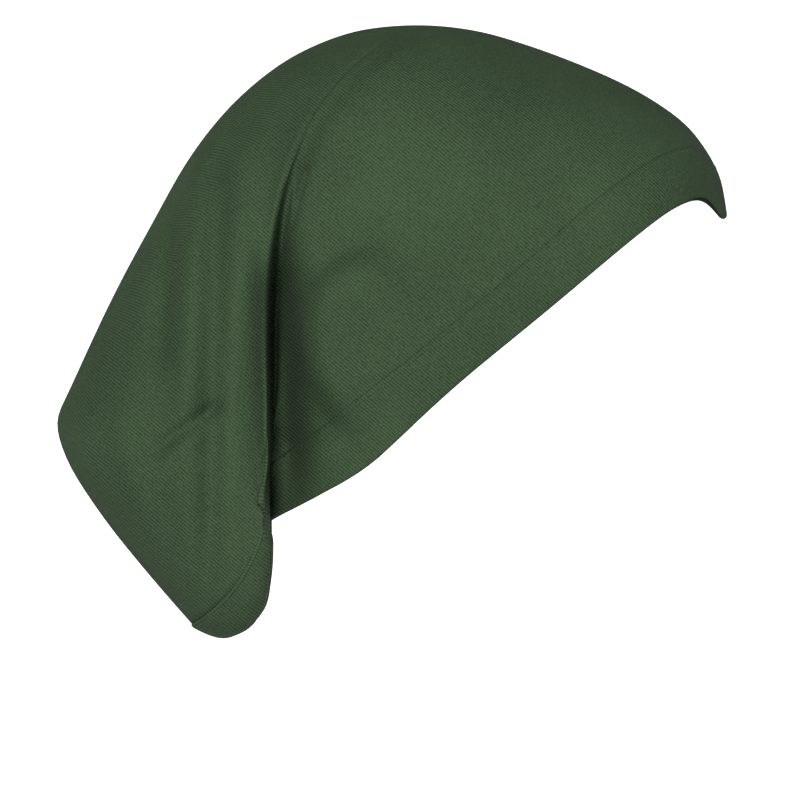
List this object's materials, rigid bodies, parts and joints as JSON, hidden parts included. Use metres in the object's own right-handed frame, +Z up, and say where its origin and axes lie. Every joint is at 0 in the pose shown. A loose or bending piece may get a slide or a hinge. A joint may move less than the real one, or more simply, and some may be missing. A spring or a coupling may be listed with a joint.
{
  "type": "hijab underscarf cap",
  "caption": "Jersey underscarf cap, worn, with a turned band round the face, a deep pleat behind each ear and a pouch that hangs behind.",
  "frame": {"origin": "inside of the crown on the middle line, where the cap rests on the top of a head", "axes": "+X out of the face opening, +Y towards the wearer's left side, +Z up"},
  "size_m": [0.2415, 0.1498, 0.2222],
  "materials": {
    "jersey": "soft knitted, dull",
    "hem_jersey": "soft knitted, dull, two turned layers",
    "base_jersey": "soft knitted, dull",
    "seam_jersey": "soft knitted, rolled seam"
  },
  "bodies": {
    "root": {"hood_body": "jersey", "face_hem": "hem_jersey", "pouch_base": "base_jersey", "pouch_seam": "seam_jersey"}
  },
  "joints": []
}
